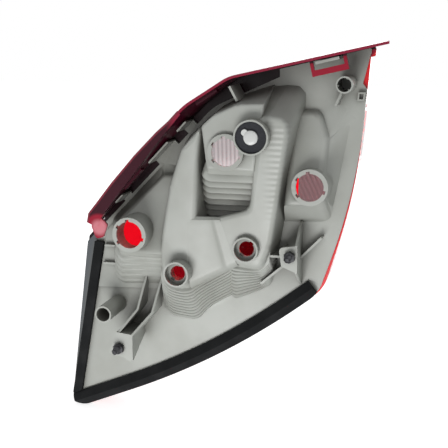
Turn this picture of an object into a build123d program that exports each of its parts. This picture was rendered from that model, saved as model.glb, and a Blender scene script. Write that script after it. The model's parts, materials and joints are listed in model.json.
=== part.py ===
"""Tail light cluster, drawn from its vehicle side: housing, lens, windows, gaskets, vent foam and studs.

Drawing frame in millimetres: X across the lamp and Z up, as a mechanic sees it from inside the vehicle.
The back face of the housing's flange lies on Y = 0. Heights are measured from it towards the vehicle,
which is -Y, and the lens lies towards +Y. The finished pieces are moved so that the origin is where the
thread of the inner stud starts.
"""
import os
from math import cos, hypot, radians, sin, sqrt
from typing import NamedTuple

from build123d import *

# Walls and ribs
WALL = 2.5
FLANGE = 3.0
LENS_WALL = 3.0
RIB = 2.2
PLATE = 3.0
EDGE_STEPS = 2
ROUND_CHORDS = 3
MIN_ROUND = 0.6
RIB_SEAT = 0.2

# Extra length of a cutter past the faces that it goes through
PAST = 1.0

# Lamp outline: corners (x, z) clockwise from the left top, and the round on each corner
LAMP_CORNERS = [(-147, -21), (6, 142), (141, 173.5), (130, 37), (101, -61), (-4, -144), (-172.5, -216)]
LAMP_ROUNDS = [3, 85, 1.5, 560, 36, 780, 14]

# The housing stops short of the skirt along the upper left, as far as a step in the top edge
SKIRT_LEDGE = 5.5
LEDGE_CORNER = (-10.5, 116.5)
LEDGE_ROUND = 50.0
LEDGE_END = (55.0, 146.0)

# Seat of the housing's flange on the lens, and how far the lens shows past it at the lower right
WELD_SEAT = 5.0
LENS_SLIVER = 6.0

# Lens: growth and shift of its belly over the lamp outline, the sides in front of it and the crown
BELLY_GROW = 3.0
BELLY_Y = 20.0
BELLY_SHIFT = (-3.0, -2.0)
BELLY_ROUNDS = [40, 110, 25, 560, 60, 780, 30]
LENS_CENTRE = (-15.0, -30.0)
LENS_SIDES = [(42.0, 0.97), (56.0, 0.91), (66.0, 0.82)]
FRONT_Y = 64.0
CROWN_RADIUS = 900.0

# Skirt of the lens: its root and its free edge, clockwise from the left end, closed inside the lamp
SKIRT_WALL = 2.5
SKIRT_ROOT = [(-146, -13.6), (-112, 24.5), (-20, 120), (16, 148.5), (175, 186), (165, 120), (-60, -40)]
SKIRT_EDGE = [(-134, -14), (-112, 19.5), (-33, 118.5), (13, 147.5), (190, 187), (165, 120), (-60, -40)]
SKIRT_ROUNDS = [1, 150, 60, 40, 1, 1, 1]
SKIRT_HEIGHT = 35.0
SKIRT_START = 27.0
SKIRT_TIP = (145.0, 160.0)
LEDGE_DEPTH = 3.0
LEDGE_GROW = 4.0
END_TAB = [(-129, -2), (-121, 9), (-111.5, 0), (-116, -13), (-124, -15)]
END_TAB_HEIGHT = 33.0
END_TAB_ROUND = 3.0

# Raised pads inside the skirt: their two ends (x, z), heights and thickness
SKIRT_PADS = [((-101, 40), (-82, 59)), ((-20, 118), (0, 132))]
PAD_HEIGHTS = (14.0, 23.0)
PAD_WALL = 1.8
PAD_REACH = 9.0

# Latch at the top right: stretch along the top edge, from the shoulder corner, and its heights
LATCH_SPAN = (84.0, 118.0)
LATCH_BAR = (-14.0, -8.5)
LATCH_BAR_HEIGHTS = (24.0, 28.0)
LATCH_LEG = 3.0
LATCH_REACH = 12.0
TONGUE_SPAN = (90.0, 112.0)
TONGUE_PLACE = (-3.5, -1.0)
TONGUE_HEIGHT = 33.0
TONGUE_SLOT = (4.0, 9.0)
TONGUE_SLOT_LOW = 8.0

# Tongues along the upper left: thickness, then middle along the edge, width, height and place across it
SIDE_TONGUE_WALL = 1.6
SIDE_TONGUES = [(63.5, 11.0, 22.0, -0.2), (127.0, 29.0, 22.0, 2.0), (163.0, 13.0, 24.0, 2.0)]

# Clear windows of the lens in front of the top bowl and the right bowl
INDICATOR_WINDOW = [(-34, 20), (-34, 76), (8, 120), (50, 128), (44, 22)]
REVERSE_WINDOW = [(68, 124), (96, 126), (108, 104), (104, 14), (64, 12)]
WINDOW_ROUND = 10.0

# Bulb sockets: places (x, z), heights of their mouths, and sizes
BULB_SOCKETS = {"tail": (-82.3, -5.4, 50.0), "indicator": (13.8, 78.3, 48.0), "reverse": (91.3, 46.2, 34.0)}
BULB_TUBE_RADIUS = 17.3
BULB_HOLE_RADIUS = 13.2
BULB_NOTCH = (3.6, 2.0)
BULB_NOTCH_ANGLES = [98, 148, 215, 343]
WEDGE_SOCKETS = {"left": (-35.2, -42.1, 50.0), "right": (31.2, -15.9, 40.0)}
WEDGE_TUBE_RADIUS = 12.6
WEDGE_CUP_RADIUS = 10.9
WEDGE_CUP_DEPTH = 7.0
WEDGE_HOLE_RADIUS = 7.4
WEDGE_NOTCH = (4.0, 1.6)
WEDGE_NOTCH_ANGLES = [50, 230]
SOCKET_PLATE = 2.5

# Vent tube on the right trunk, its post and its foam disc
VENT = (39.8, 93.6, 56.0)
VENT_RADIUS = 16.4
VENT_WALL = 1.6
VENT_FLOOR = 47.0
VENT_POST_RADIUS = 6.6
VENT_LOBE = (-5.8, 4.6, 3.0)
FOAM_SUNK = 2.0

# Locating tubes
BOSS = (-114.8, -91.0, 43.0)
BOSS_RADIUS = 8.8
BOSS_BORE = 7.1
SLEEVE = (120.4, 141.0, 30.0)
SLEEVE_RADIUS = 7.8
SLEEVE_BORE = 6.4
TUBE_FLOOR = 2.0

# Studs in their brackets
LOWER_STUD = (-100.0, -126.5, 38.0)
INNER_STUD = (72.9, -22.0, 30.0)
STUD_RADIUS = 3.0
STUD_LENGTH = 10.0
STUD_SHANK = 3.0
COLLAR_ACROSS = 10.0
COLLAR_HEIGHT = 5.0

# Bracket of the lower stud: its plate, the gusset under it (z, height), and the ribs that slope to the cheek
LOWER_PLATE = [(-103, -111), (-86, -113), (-88, -141), (-95, -136.5), (-112, -133)]
LOWER_ROUNDS = [4, 1, 1, 6, 1]
LOWER_GUSSET = [(-113, 0), (-113, 38), (-139, 38), (-139, 35), (-121, 0)]
LOWER_RIBS = [[(-78, -48), (-84, -88), (-102, -112)], [(-61, -48), (-68, -90), (-87, -113)]]
LOWER_RAMP = ((-60, 13), (-112, 38))

# Bracket of the inner stud: its plate, the gusset's profile (z, height) and the ribs with their heights
INNER_PLATE = [(62, -14), (80, -11), (80, -38), (64.5, -32)]
INNER_ROUNDS = [4, 1, 1, 3]
GUSSET_X = 79.0
GUSSET = [(8, 0), (8, 6), (-11, 30), (-38, 30), (-55, 4), (-55, 0)]
INNER_RIBS = [
    ([(64, -16), (65.5, -31)], 29), ([(52, -24), (64, -24)], 24),
    ([(42, -54), (66, -33)], 18), ([(80, -27), (100, -6)], 12),
]

# Small ribs of the pan with their heights, the raised pad at the left, and the details at the right edge
PAN_RIBS = [
    ([(-126, -28), (-113, -28)], 7), ([(-128, -47), (-113, -47)], 7),
    ([(22, 125), (14.5, 138.5)], 36), ([(118, 137), (111, 121)], 18),
]
STEP_PAD = [(-124.5, -13), (-117, -4), (-66, -20), (-66, -71), (-136, -74)]
STEP_HEIGHT = 2.5
EDGE_FRAME = [(130, 133), (137, 133), (136, 125), (129.4, 125)]
EDGE_FRAME_HEIGHT = 4.0
EDGE_FRAME_WALL = 1.5
EDGE_NOTCH = [(140.2, 168), (150, 168), (150, 134.5), (138, 135), (133.8, 141)]

# Foam gaskets
SIDE_WIDTH = 9.6
SIDE_HEIGHT = 5.0
SIDE_INSETS = (1.2, 9.7)
BAR_WIDTH = 16.0
BAR_EDGE = 3.0
BAR_RIDGE = 9.0
BAR_RIDGE_AT = 7.5
BAR_START = 1.0
SIDE_START = 20.0
SIDE_SLANT = 6.0
SIDE_END = 2.0
GASKET_ROUND = 1.0


class Bowl(NamedTuple):
    """A reflector bowl: its outlines at the flange and at its outer face, and that face's plane."""

    base: list
    face: list
    rounds: list
    height: float
    slope: float
    level_z: float
    edge_round: float


RIGHT_TRUNK = Bowl(
    base=[(40, 136), (84, 141), (58, -14), (48, -60), (10, -77), (-4, 8), (36, 19)],
    face=[(44, 112), (76, 116), (55, -12), (45, -38), (12, -32), (-2, 12), (34, 23)],
    rounds=[6, 16, 60, 12, 6, 0, 14],
    height=40.0, slope=0.11, level_z=47.0, edge_round=5.0,
)
LEFT_TRUNK = Bowl(
    base=[(-36, 86), (-10, 111), (-14, 62), (-16, 8), (-22, -101), (-63, -98), (-60, -15), (-54, 48)],
    face=[(-31, 80), (-10, 103), (-14, 66), (-18, 14), (-24, -59), (-55, -58), (-56, -15), (-44, 44)],
    rounds=[12, 3, 40, 30, 14, 14, 80, 60],
    height=41.0, slope=0.077, level_z=35.0, edge_round=5.0,
)
SHOULDER = Bowl(
    base=[(-30, 9), (16, 8), (22, -58), (10, -71), (-28, -94)],
    face=[(-30, 14), (14, 13), (20, -24), (8, -36), (-30, -58)],
    rounds=[0, 0, 0, 6, 0],
    height=33.5, slope=0.07, level_z=0.0, edge_round=3.0,
)
TOP_BOWL = Bowl(
    base=[(-14, 106), (0, 118), (23, 130), (50, 139), (38, 9), (-16, 9)],
    face=[(-11, 102), (2, 113), (24, 123), (50, 124), (40, 60), (-6, 60)],
    rounds=[6, 12, 20, 0, 0, 4],
    height=43.5, slope=0.05, level_z=78.0, edge_round=3.0,
)
CHEEK = Bowl(
    base=[(-120, -2), (-62, 59), (-46, 57), (-46, -68), (-114, -68)],
    face=[(-108, 0), (-60, 50), (-46, 50), (-46, -28), (-100, -28)],
    rounds=[14, 4, 0, 0, 8],
    height=27.0, slope=-0.34, level_z=-3.0, edge_round=4.0,
)
RIGHT_BOWL = Bowl(
    base=[(66, 126), (112, 126), (125, 112), (107, 8), (62, 6)],
    face=[(70, 116), (96, 116), (105, 92), (104, 28), (66, 26)],
    rounds=[0, 10, 12, 12, 0],
    height=27.0, slope=-0.29, level_z=46.0, edge_round=6.0,
)
BOWLS = [RIGHT_TRUNK, LEFT_TRUNK, SHOULDER, TOP_BOWL, CHEEK, RIGHT_BOWL]


class RibSet(NamedTuple):
    """Ribs round the end of a bowl: shares of its height, count, how proud, filled share, corners of a zone."""

    bowl: Bowl
    first: float
    last: float
    count: int
    proud: float
    duty: float
    low: tuple
    high: tuple


RIB_SETS = [
    RibSet(RIGHT_TRUNK, 0.04, 0.88, 10, 1.4, 0.6, (5, -85), (70, -33)),
    RibSet(LEFT_TRUNK, 0.04, 0.88, 10, 1.4, 0.6, (-70, -110), (-15, -56)),
    RibSet(SHOULDER, 0.05, 0.87, 8, 1.3, 0.6, (-21, -100), (14, -30)),
    RibSet(CHEEK, 0.05, 0.9, 5, 1.6, 0.75, (-120, -75), (-48, -29)),
    RibSet(TOP_BOWL, 0.1, 0.9, 6, 2.0, 0.5, (-12, 8), (36, 58)),
]


def grown(corners, amount):
    """Corners of a clockwise outline with every side moved outwards by amount."""
    moved = []
    for k, (x, z) in enumerate(corners):
        before, after = corners[k - 1], corners[(k + 1) % len(corners)]
        normals = []
        for (ax, az), (bx, bz) in ((before, (x, z)), ((x, z), after)):
            length = hypot(bx - ax, bz - az)
            normals.append((-(bz - az) / length, (bx - ax) / length))
        (ux, uz), (vx, vz) = normals
        share = amount / (1 + ux * vx + uz * vz)
        moved.append((x + (ux + vx) * share, z + (uz + vz) * share))
    return moved


def shifted(corners, shift):
    return [(x + shift[0], z + shift[1]) for x, z in corners]


def at_height(height):
    """Plane parallel to the flange, facing the vehicle."""
    return Plane.XZ.offset(height)


def region(corners, rounds, height):
    """Flat outline with rounded corners at a height."""
    return at_height(height) * make_face(FilletPolyline(*corners, radius=rounds, close=True))


def slab(corners, low, high, rounds=0):
    """Plate of an outline between two heights."""
    radii = rounds if isinstance(rounds, list) else [rounds] * len(corners)
    return extrude(region(corners, radii, low), amount=high - low)


def rod(x, z, radius, low, high):
    """Round bar along Y between two heights."""
    return at_height(low) * Pos(x, z) * extrude(Circle(radius), amount=high - low)


def strip(points, thickness, low, high):
    """Thin upright wall along a line of points."""
    return extrude(at_height(low) * trace(Polyline(*points), line_width=thickness), amount=high - low)


def lamp_region(grow, height, shift=(0, 0)):
    rounds = [max(radius + grow, 0.5) for radius in LAMP_ROUNDS]
    return region(shifted(grown(LAMP_CORNERS, grow), shift), rounds, height)


def rounded(corners, rounds):
    """Corners of an outline, each one with a radius replaced by points round its curve."""
    points = []
    for k, (x, z) in enumerate(corners):
        if not rounds[k]:
            points.append((x, z))
            continue
        arms = []
        for other in (corners[k - 1], corners[(k + 1) % len(corners)]):
            length = hypot(other[0] - x, other[1] - z)
            arms.append(((other[0] - x) / length, (other[1] - z) / length))
        (ux, uz), (vx, vz) = arms
        turn = ux * vx + uz * vz
        reach = rounds[k] * sqrt((1 + turn) / (1 - turn))
        for step in range(ROUND_CHORDS + 1):
            late = step / ROUND_CHORDS
            near, far = reach * (1 - late) ** 2, reach * late ** 2
            points.append((x + ux * near + vx * far, z + uz * near + vz * far))
    return points


def bowl_section(bowl, share, grow, lift=0.0):
    """Outline of a bowl at a share of its wall, from the flange, 0, to the foot of the rounded edge, 1."""
    rim = bowl.height - bowl.edge_round
    rounds = [max(radius + grow, MIN_ROUND) if radius else 0 for radius in bowl.rounds]
    slope = bowl.slope * share
    stretch = hypot(1, slope)
    points = []
    outlines = [rounded(grown(corners, grow), rounds) for corners in (bowl.base, bowl.face)]
    for (ax, az), (bx, bz) in zip(*outlines):
        start, end = (rim + bowl.slope * (z - bowl.level_z) for z in (az, bz))
        part = share * start / (end - slope * (bz - az))
        points.append((ax + (bx - ax) * part, (az + (bz - az) * part - bowl.level_z) * stretch))
    plane = Plane(origin=(0, -rim * share - lift, bowl.level_z), x_dir=(1, 0, 0), z_dir=(0, -1, -slope))
    return plane * make_face(Polyline(*points, close=True))


def bowl_form(bowl):
    """Outside of a bowl, with the edge of its face rounded in steps along a quarter circle."""
    sections = [bowl_section(bowl, 0, 0)]
    for step in range(EDGE_STEPS + 1):
        angle = radians(90 * step / EDGE_STEPS)
        inwards = bowl.edge_round * (1 - cos(angle))
        sections.append(bowl_section(bowl, 1, -inwards, bowl.edge_round * sin(angle)))
    return loft(sections, ruled=True)


def bowl_hollow(bowl):
    """Inside of a bowl, open through the flange to the lens, with a chamfer under the rounded edge."""
    return loft([
        bowl_section(bowl, 0, -WALL, -FLANGE - PAST),
        bowl_section(bowl, 1, -WALL, -WALL),
        bowl_section(bowl, 1, -WALL - bowl.edge_round, bowl.edge_round - WALL),
    ], ruled=True)


def along(start, end, distance, outwards=0.0):
    """Point at a distance along a side of a clockwise outline, and outwards from it."""
    length = hypot(end[0] - start[0], end[1] - start[1])
    ux, uz = (end[0] - start[0]) / length, (end[1] - start[1]) / length
    return start[0] + ux * distance - uz * outwards, start[1] + uz * distance + ux * outwards


def ribbed_wall(ribs):
    """Ribs round the end of a bowl at even steps of its wall, within their zone."""
    (left, bottom), (right, top) = ribs.low, ribs.high
    cover = slab([(left, top), (right, top), (right, bottom), (left, bottom)], 0, 2 * ribs.bowl.height)
    step = (ribs.last - ribs.first) / ribs.count
    crest, flank = step * ribs.duty / 2, step * (1 - ribs.duty) / 4
    sections = []
    for k in range(ribs.count):
        middle = ribs.first + step * (k + 0.5)
        sections.append(bowl_section(ribs.bowl, middle - crest - flank, RIB_SEAT))
        sections.append(bowl_section(ribs.bowl, middle - crest, ribs.proud))
        sections.append(bowl_section(ribs.bowl, middle + crest, ribs.proud))
        sections.append(bowl_section(ribs.bowl, middle + crest + flank, RIB_SEAT))
    return loft(sections, ruled=True) & cover


def notches(x, z, radius, notch, angles, low, high):
    """Key slots round a socket's hole."""
    width, depth = notch
    return [
        at_height(low) * Pos(x, z) * Rot(0, 0, angle)
        * extrude(Pos(radius, 0) * Rectangle(2 * depth, width), amount=high - low)
        for angle in angles
    ]


def housing_corners():
    """Lamp outline set back along the skirt's ledge and at the lower right."""
    left, shoulder, top_right, right, low_right, bottom, foot = LAMP_CORNERS
    (end_x, end_z), slope = LEDGE_END, (top_right[1] - shoulder[1]) / (top_right[0] - shoulder[0])
    left_side = hypot(left[0] - foot[0], left[1] - foot[1])
    return [
        along(foot, left, left_side - SKIRT_LEDGE), LEDGE_CORNER, LEDGE_END,
        (end_x, shoulder[1] + slope * (end_x - shoulder[0])), top_right, right,
        along(low_right, bottom, LENS_SLIVER), bottom, foot,
    ]


def housing_rounds(inset=0.0):
    """Rounds on the corners of the housing's outline, drawn in by an inset."""
    rounds = [LAMP_ROUNDS[0], LEDGE_ROUND, 0, 0, *LAMP_ROUNDS[2:]]
    return [max(radius - inset, 0) for radius in rounds]


def above_ramp(ramp):
    """Large block above a line that climbs towards lower Z, to trim the tops of ribs."""
    (start_z, start_height), (end_z, end_height) = ramp
    plane = Plane(
        origin=(0, -start_height, start_z), x_dir=(1, 0, 0),
        z_dir=(0, end_z - start_z, end_height - start_height),
    )
    size = 2 * hypot(*LAMP_CORNERS[6])
    return plane * extrude(Rectangle(size, size), amount=size)


def housing_slab(low, high):
    """Plate of the housing's outline between two heights."""
    return slab(housing_corners(), low, high, housing_rounds())


def edge_plate(start, end, span, offsets, low, high):
    """Plate that follows a side of the outline between two distances and two offsets."""
    (near, far), (inside, outside) = span, offsets
    corners = [
        along(start, end, near, inside), along(start, end, near, outside),
        along(start, end, far, outside), along(start, end, far, inside),
    ]
    return slab(corners, low, high)


def upright(profile, x):
    """Web square to X with a profile of (z, height) points."""
    plane = Plane(origin=(x, 0, 0), x_dir=(0, 0, 1), z_dir=(-1, 0, 0))
    face = plane * make_face(Polyline(*[(z, -height) for z, height in profile], close=True))
    return extrude(face, amount=RIB / 2, both=True)


def lower_bracket():
    """Plate that carries the lower stud, its walls, and the two bent ribs up to the cheek."""
    top = LOWER_STUD[2]
    walls = [strip(rib, RIB, 0, top) - above_ramp(LOWER_RAMP) for rib in LOWER_RIBS]
    walls.append(strip(LOWER_PLATE[:2], RIB, 0, top))
    walls.append(upright(LOWER_GUSSET, LOWER_PLATE[2][0] + RIB / 2))
    return [*walls, slab(LOWER_PLATE, top - PLATE, top, LOWER_ROUNDS)]


def inner_bracket():
    """Plate that carries the inner stud, on its upright gusset and ribs."""
    top = INNER_STUD[2]
    return [slab(INNER_PLATE, top - PLATE, top, INNER_ROUNDS), upright(GUSSET, GUSSET_X)]


def edge_details():
    """Latch tongues along the skirt, and the small frame at the right edge."""
    left, shoulder, right = LAMP_CORNERS[:3]
    near, far = TONGUE_SPAN
    first, last = TONGUE_SLOT
    tongue = edge_plate(shoulder, right, TONGUE_SPAN, TONGUE_PLACE, -PAST, TONGUE_HEIGHT)
    through = (TONGUE_PLACE[0] - PAST, TONGUE_PLACE[1] + PAST)
    for slot in ((near + first, near + last), (far - last, far - first)):
        tongue -= edge_plate(shoulder, right, slot, through, TONGUE_SLOT_LOW, TONGUE_HEIGHT - PLATE)
    frame = slab(EDGE_FRAME, -PAST, EDGE_FRAME_HEIGHT)
    frame -= slab(grown(EDGE_FRAME, -EDGE_FRAME_WALL), 0, EDGE_FRAME_HEIGHT + PAST)
    side = []
    for middle, width, height, outer in SIDE_TONGUES:
        span = (middle - width / 2, middle + width / 2)
        side.append(edge_plate(left, shoulder, span, (-SKIRT_LEDGE - WALL, outer), -FLANGE, 0))
        side.append(edge_plate(left, shoulder, span, (outer - SIDE_TONGUE_WALL, outer), -PAST, height))
    return [tongue, frame, *side]


def vent_post(low, high):
    """Post in the middle of the vent tube, with its lobe."""
    x, z, _ = VENT
    lobe_x, lobe_z, lobe_radius = VENT_LOBE
    return rod(x, z, VENT_POST_RADIUS, low, high) + rod(x + lobe_x, z + lobe_z, lobe_radius, low, high)


def socket_parts():
    """Tubes to add for the bulb sockets, and the holes and key slots to cut in them."""
    adds, cuts = [], []
    for x, z, mouth in BULB_SOCKETS.values():
        plate = mouth - SOCKET_PLATE
        adds.append(rod(x, z, BULB_TUBE_RADIUS, 0, mouth))
        cuts.append(rod(x, z, BULB_TUBE_RADIUS - WALL, 0, plate))
        cuts.append(rod(x, z, BULB_HOLE_RADIUS, 0, mouth + PAST))
        cuts += notches(x, z, BULB_HOLE_RADIUS, BULB_NOTCH, BULB_NOTCH_ANGLES, plate - PAST, mouth + PAST)
    for x, z, mouth in WEDGE_SOCKETS.values():
        floor = mouth - WEDGE_CUP_DEPTH
        adds.append(rod(x, z, WEDGE_TUBE_RADIUS, 0, mouth))
        cuts.append(rod(x, z, WEDGE_CUP_RADIUS, floor, mouth + PAST))
        cuts.append(rod(x, z, WEDGE_HOLE_RADIUS, 0, mouth + PAST))
        under = floor - SOCKET_PLATE
        cuts += notches(x, z, WEDGE_HOLE_RADIUS, WEDGE_NOTCH, WEDGE_NOTCH_ANGLES, under, floor + PAST)
    return adds, cuts


def tube_parts():
    """Vent tube, locating tubes and stud holes: what to add and what to cut."""
    x, z, mouth = VENT
    pocket = rod(x, z, VENT_RADIUS - VENT_WALL, VENT_FLOOR, mouth + PAST)
    adds = [rod(x, z, VENT_RADIUS, 0, mouth)]
    cuts = [pocket - vent_post(VENT_FLOOR - PAST, mouth + 2 * PAST)]
    x, z, mouth = BOSS
    adds.append(rod(x, z, BOSS_RADIUS, 0, mouth))
    cuts.append(rod(x, z, BOSS_BORE, TUBE_FLOOR, mouth + PAST))
    x, z, mouth = SLEEVE
    adds.append(rod(x, z, SLEEVE_RADIUS, 0, mouth))
    cuts.append(rod(x, z, SLEEVE_BORE, TUBE_FLOOR, mouth + PAST))
    for x, z, seat in (LOWER_STUD, INNER_STUD):
        cuts.append(rod(x, z, STUD_RADIUS, seat - STUD_SHANK, seat + PAST))
    return adds, cuts


def make_housing():
    adds = [bowl_form(ribs.bowl) + ribbed_wall(ribs) for ribs in RIB_SETS]
    adds.append(bowl_form(RIGHT_BOWL))
    adds += lower_bracket() + inner_bracket() + edge_details()
    adds += [strip(points, RIB, 0, height) for points, height in INNER_RIBS + PAN_RIBS]
    adds.append(slab(STEP_PAD, 0, STEP_HEIGHT, GASKET_ROUND))
    cuts = [bowl_hollow(bowl) for bowl in BOWLS]
    for more_adds, more_cuts in (socket_parts(), tube_parts()):
        adds += more_adds
        cuts += more_cuts
    cuts.append(slab(EDGE_NOTCH, -FLANGE - PAST, PAST))
    body = housing_slab(-FLANGE, 0) + adds
    return body - cuts


def lens_form(inset):
    """Body of the lens from its rim over its belly to its crowned front, drawn in by an inset."""
    belly = shifted(grown(LAMP_CORNERS, BELLY_GROW - inset), BELLY_SHIFT)
    rounds = [radius - inset for radius in BELLY_ROUNDS]
    sections = [lamp_region(-inset, -FLANGE), region(belly, rounds, -BELLY_Y)]
    centre_x, centre_z = LENS_CENTRE
    for y, scale in LENS_SIDES:
        corners = [(centre_x + (x - centre_x) * scale, centre_z + (z - centre_z) * scale) for x, z in belly]
        sections.append(region(corners, [radius * scale for radius in rounds], -y))
    crown = Pos(centre_x, FRONT_Y - CROWN_RADIUS, centre_z) * Sphere(CROWN_RADIUS - inset)
    return loft(sections, ruled=True) & crown


def skirt_zone():
    """Stretch of the outline that has the skirt: the upper left and the top, to the slanted tip."""
    left, shoulder, right = LAMP_CORNERS[:3]
    reach = 2 * SKIRT_HEIGHT
    top = hypot(right[0] - shoulder[0], right[1] - shoulder[1])
    corners = [
        along(left, shoulder, SKIRT_START, -2 * SKIRT_LEDGE),
        along(left, shoulder, SKIRT_START, reach),
        (shoulder[0] - reach, shoulder[1] + reach),
        along(shoulder, right, top + reach, reach),
        along(shoulder, right, top + reach, -SKIRT_LEDGE),
        along(shoulder, right, LEDGE_END[0], -2 * SKIRT_LEDGE),
    ]
    (near, far), low = SKIRT_TIP, FLANGE + LEDGE_DEPTH
    beyond = far + reach
    past_tip = make_face(Polyline(
        (near, low), (far, -SKIRT_HEIGHT - PAST), (beyond, -SKIRT_HEIGHT - PAST), (beyond, low), close=True,
    ))
    return slab(corners, -low, SKIRT_HEIGHT) - extrude(past_tip, amount=2 * reach * PLATE)


def skirt_form(inset):
    """Body whose flared upper left side and top side are the skirt, drawn in by an inset."""
    rounds = [max(radius - inset, GASKET_ROUND / 2) for radius in SKIRT_ROUNDS]
    root = region(grown(SKIRT_ROOT, -inset), rounds, -FLANGE - LEDGE_DEPTH)
    edge = region(grown(SKIRT_EDGE, -inset), rounds, SKIRT_HEIGHT)
    return loft([root, edge], ruled=True)


def latch_loop():
    """Staple on the skirt that the housing's tongue snaps into."""
    shoulder, right = LAMP_CORNERS[1:3]
    near, far = LATCH_SPAN
    low, high = LATCH_BAR_HEIGHTS
    legs = [(near, near + LATCH_LEG), (far - LATCH_LEG, far)]
    loop = edge_plate(shoulder, right, LATCH_SPAN, LATCH_BAR, low, high)
    return loop + [edge_plate(shoulder, right, leg, (LATCH_BAR[0], LATCH_REACH), low, high) for leg in legs]


def skirt_pads():
    """Raised pads on the inside of the skirt."""
    wall = skirt_form(SKIRT_WALL / 2) - skirt_form(SKIRT_WALL + PAD_WALL)
    pads = []
    for start, end in SKIRT_PADS:
        span = (0, hypot(end[0] - start[0], end[1] - start[1]))
        pads.append(wall & edge_plate(start, end, span, (-PAD_REACH, PAD_REACH), *PAD_HEIGHTS))
    return pads


def make_lens():
    """Lens shell with its weld rim, skirt, pads, end tab and latch loop, before the windows are taken out."""
    shell = lens_form(0) - lens_form(LENS_WALL)
    root, zone = -FLANGE - LEDGE_DEPTH, skirt_zone()
    ledge = extrude(lamp_region(LEDGE_GROW, root), amount=LEDGE_DEPTH) & zone
    rim = extrude(lamp_region(0, root), amount=LEDGE_DEPTH) + ledge
    rim -= slab(grown(housing_corners(), -WELD_SEAT), root, -FLANGE, housing_rounds(WELD_SEAT))
    skirt = (skirt_form(0) - skirt_form(SKIRT_WALL)) & zone
    loop = latch_loop() & skirt_form(SKIRT_WALL / 2)
    tab = slab(END_TAB, END_TAB_HEIGHT - SKIRT_WALL, END_TAB_HEIGHT, END_TAB_ROUND)
    return shell + [rim, skirt, *skirt_pads(), loop, tab]


def window_block(corners):
    return slab(corners, -FRONT_Y - PAST, -BELLY_Y, WINDOW_ROUND)


def make_outer_lens():
    return make_lens() - [window_block(INDICATOR_WINDOW), window_block(REVERSE_WINDOW)]


def make_window(corners):
    return (lens_form(0) - lens_form(LENS_WALL)) & window_block(corners)


def make_side_gasket():
    foot, top = LAMP_CORNERS[6], LAMP_CORNERS[0]
    length = hypot(top[0] - foot[0], top[1] - foot[1])
    low, high = SIDE_INSETS
    corners = [
        along(foot, top, SIDE_START, -low), along(foot, top, length - SIDE_END, -high),
        along(foot, top, length - SIDE_END, -high - SIDE_WIDTH),
        along(foot, top, SIDE_START + SIDE_SLANT, -low - SIDE_WIDTH),
    ]
    return slab(corners, 0, SIDE_HEIGHT, GASKET_ROUND)


def make_lower_gasket():
    """Ridged foam bar along the bottom edge, trimmed to the housing's outline."""
    inner = grown(LAMP_CORNERS, -BAR_WIDTH)
    end = along(inner[6], inner[5], -2 * BAR_WIDTH)
    path = FilletPolyline(along(inner[4], inner[5], BAR_START), inner[5], end, radius=LAMP_ROUNDS[5])
    start = path @ 0
    across = path % 0
    plane = Plane(origin=(start.X, 0, start.Y), x_dir=(-across.Y, 0, across.X), z_dir=(across.X, 0, across.Y))
    profile = plane * make_face(Polyline(
        (0, 0), (0, BAR_EDGE), (BAR_RIDGE_AT, BAR_RIDGE), (BAR_WIDTH, BAR_EDGE), (BAR_WIDTH, 0), close=True,
    ))
    bar = sweep(profile, path=Plane.XZ * path)
    return bar & housing_slab(-PAST, BAR_RIDGE + PAST)


def make_stud(place):
    x, z, seat = place
    collar = at_height(seat) * Pos(x, z) * extrude(
        RegularPolygon(COLLAR_ACROSS / 2, 6, major_radius=False), amount=COLLAR_HEIGHT
    )
    return collar + rod(x, z, STUD_RADIUS, seat - STUD_SHANK, seat + COLLAR_HEIGHT + STUD_LENGTH)


def make_vent_foam():
    x, z, mouth = VENT
    disc = rod(x, z, VENT_RADIUS - VENT_WALL, VENT_FLOOR, mouth - FOAM_SUNK)
    return disc - vent_post(VENT_FLOOR - PAST, mouth)


PIECES = {
    "housing": make_housing,
    "outer_lens": make_outer_lens,
    "indicator_window": lambda: make_window(INDICATOR_WINDOW),
    "reverse_window": lambda: make_window(REVERSE_WINDOW),
    "side_gasket": make_side_gasket,
    "lower_gasket": make_lower_gasket,
    "vent_foam": make_vent_foam,
    "lower_stud": lambda: make_stud(LOWER_STUD),
    "inner_stud": lambda: make_stud(INNER_STUD),
}

if __name__ == "__main__":
    os.makedirs("parts", exist_ok=True)
    move = Pos(-INNER_STUD[0], INNER_STUD[2] + COLLAR_HEIGHT, -INNER_STUD[1])
    for name, make in PIECES.items():
        export_step(move * make(), f"parts/{name}.step")
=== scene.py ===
"""Studio scene of a tail light cluster, dressed round its packed CAD frame.

The lamp is seen from its vehicle side: a grey housing with ribbed bowls, a dark red lens with a flared
skirt, foam gaskets and black studs. The CAD nodes get their materials here. The ribs, the saddle between the
trunks, the vent's cap, the skirt's flare and the threads are made here. Lengths are metres unless a comment
says millimetres, in the frame of the CAD model: +Z up, -Y towards the vehicle, with the origin where the
thread of the inner stud starts.
"""

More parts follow.
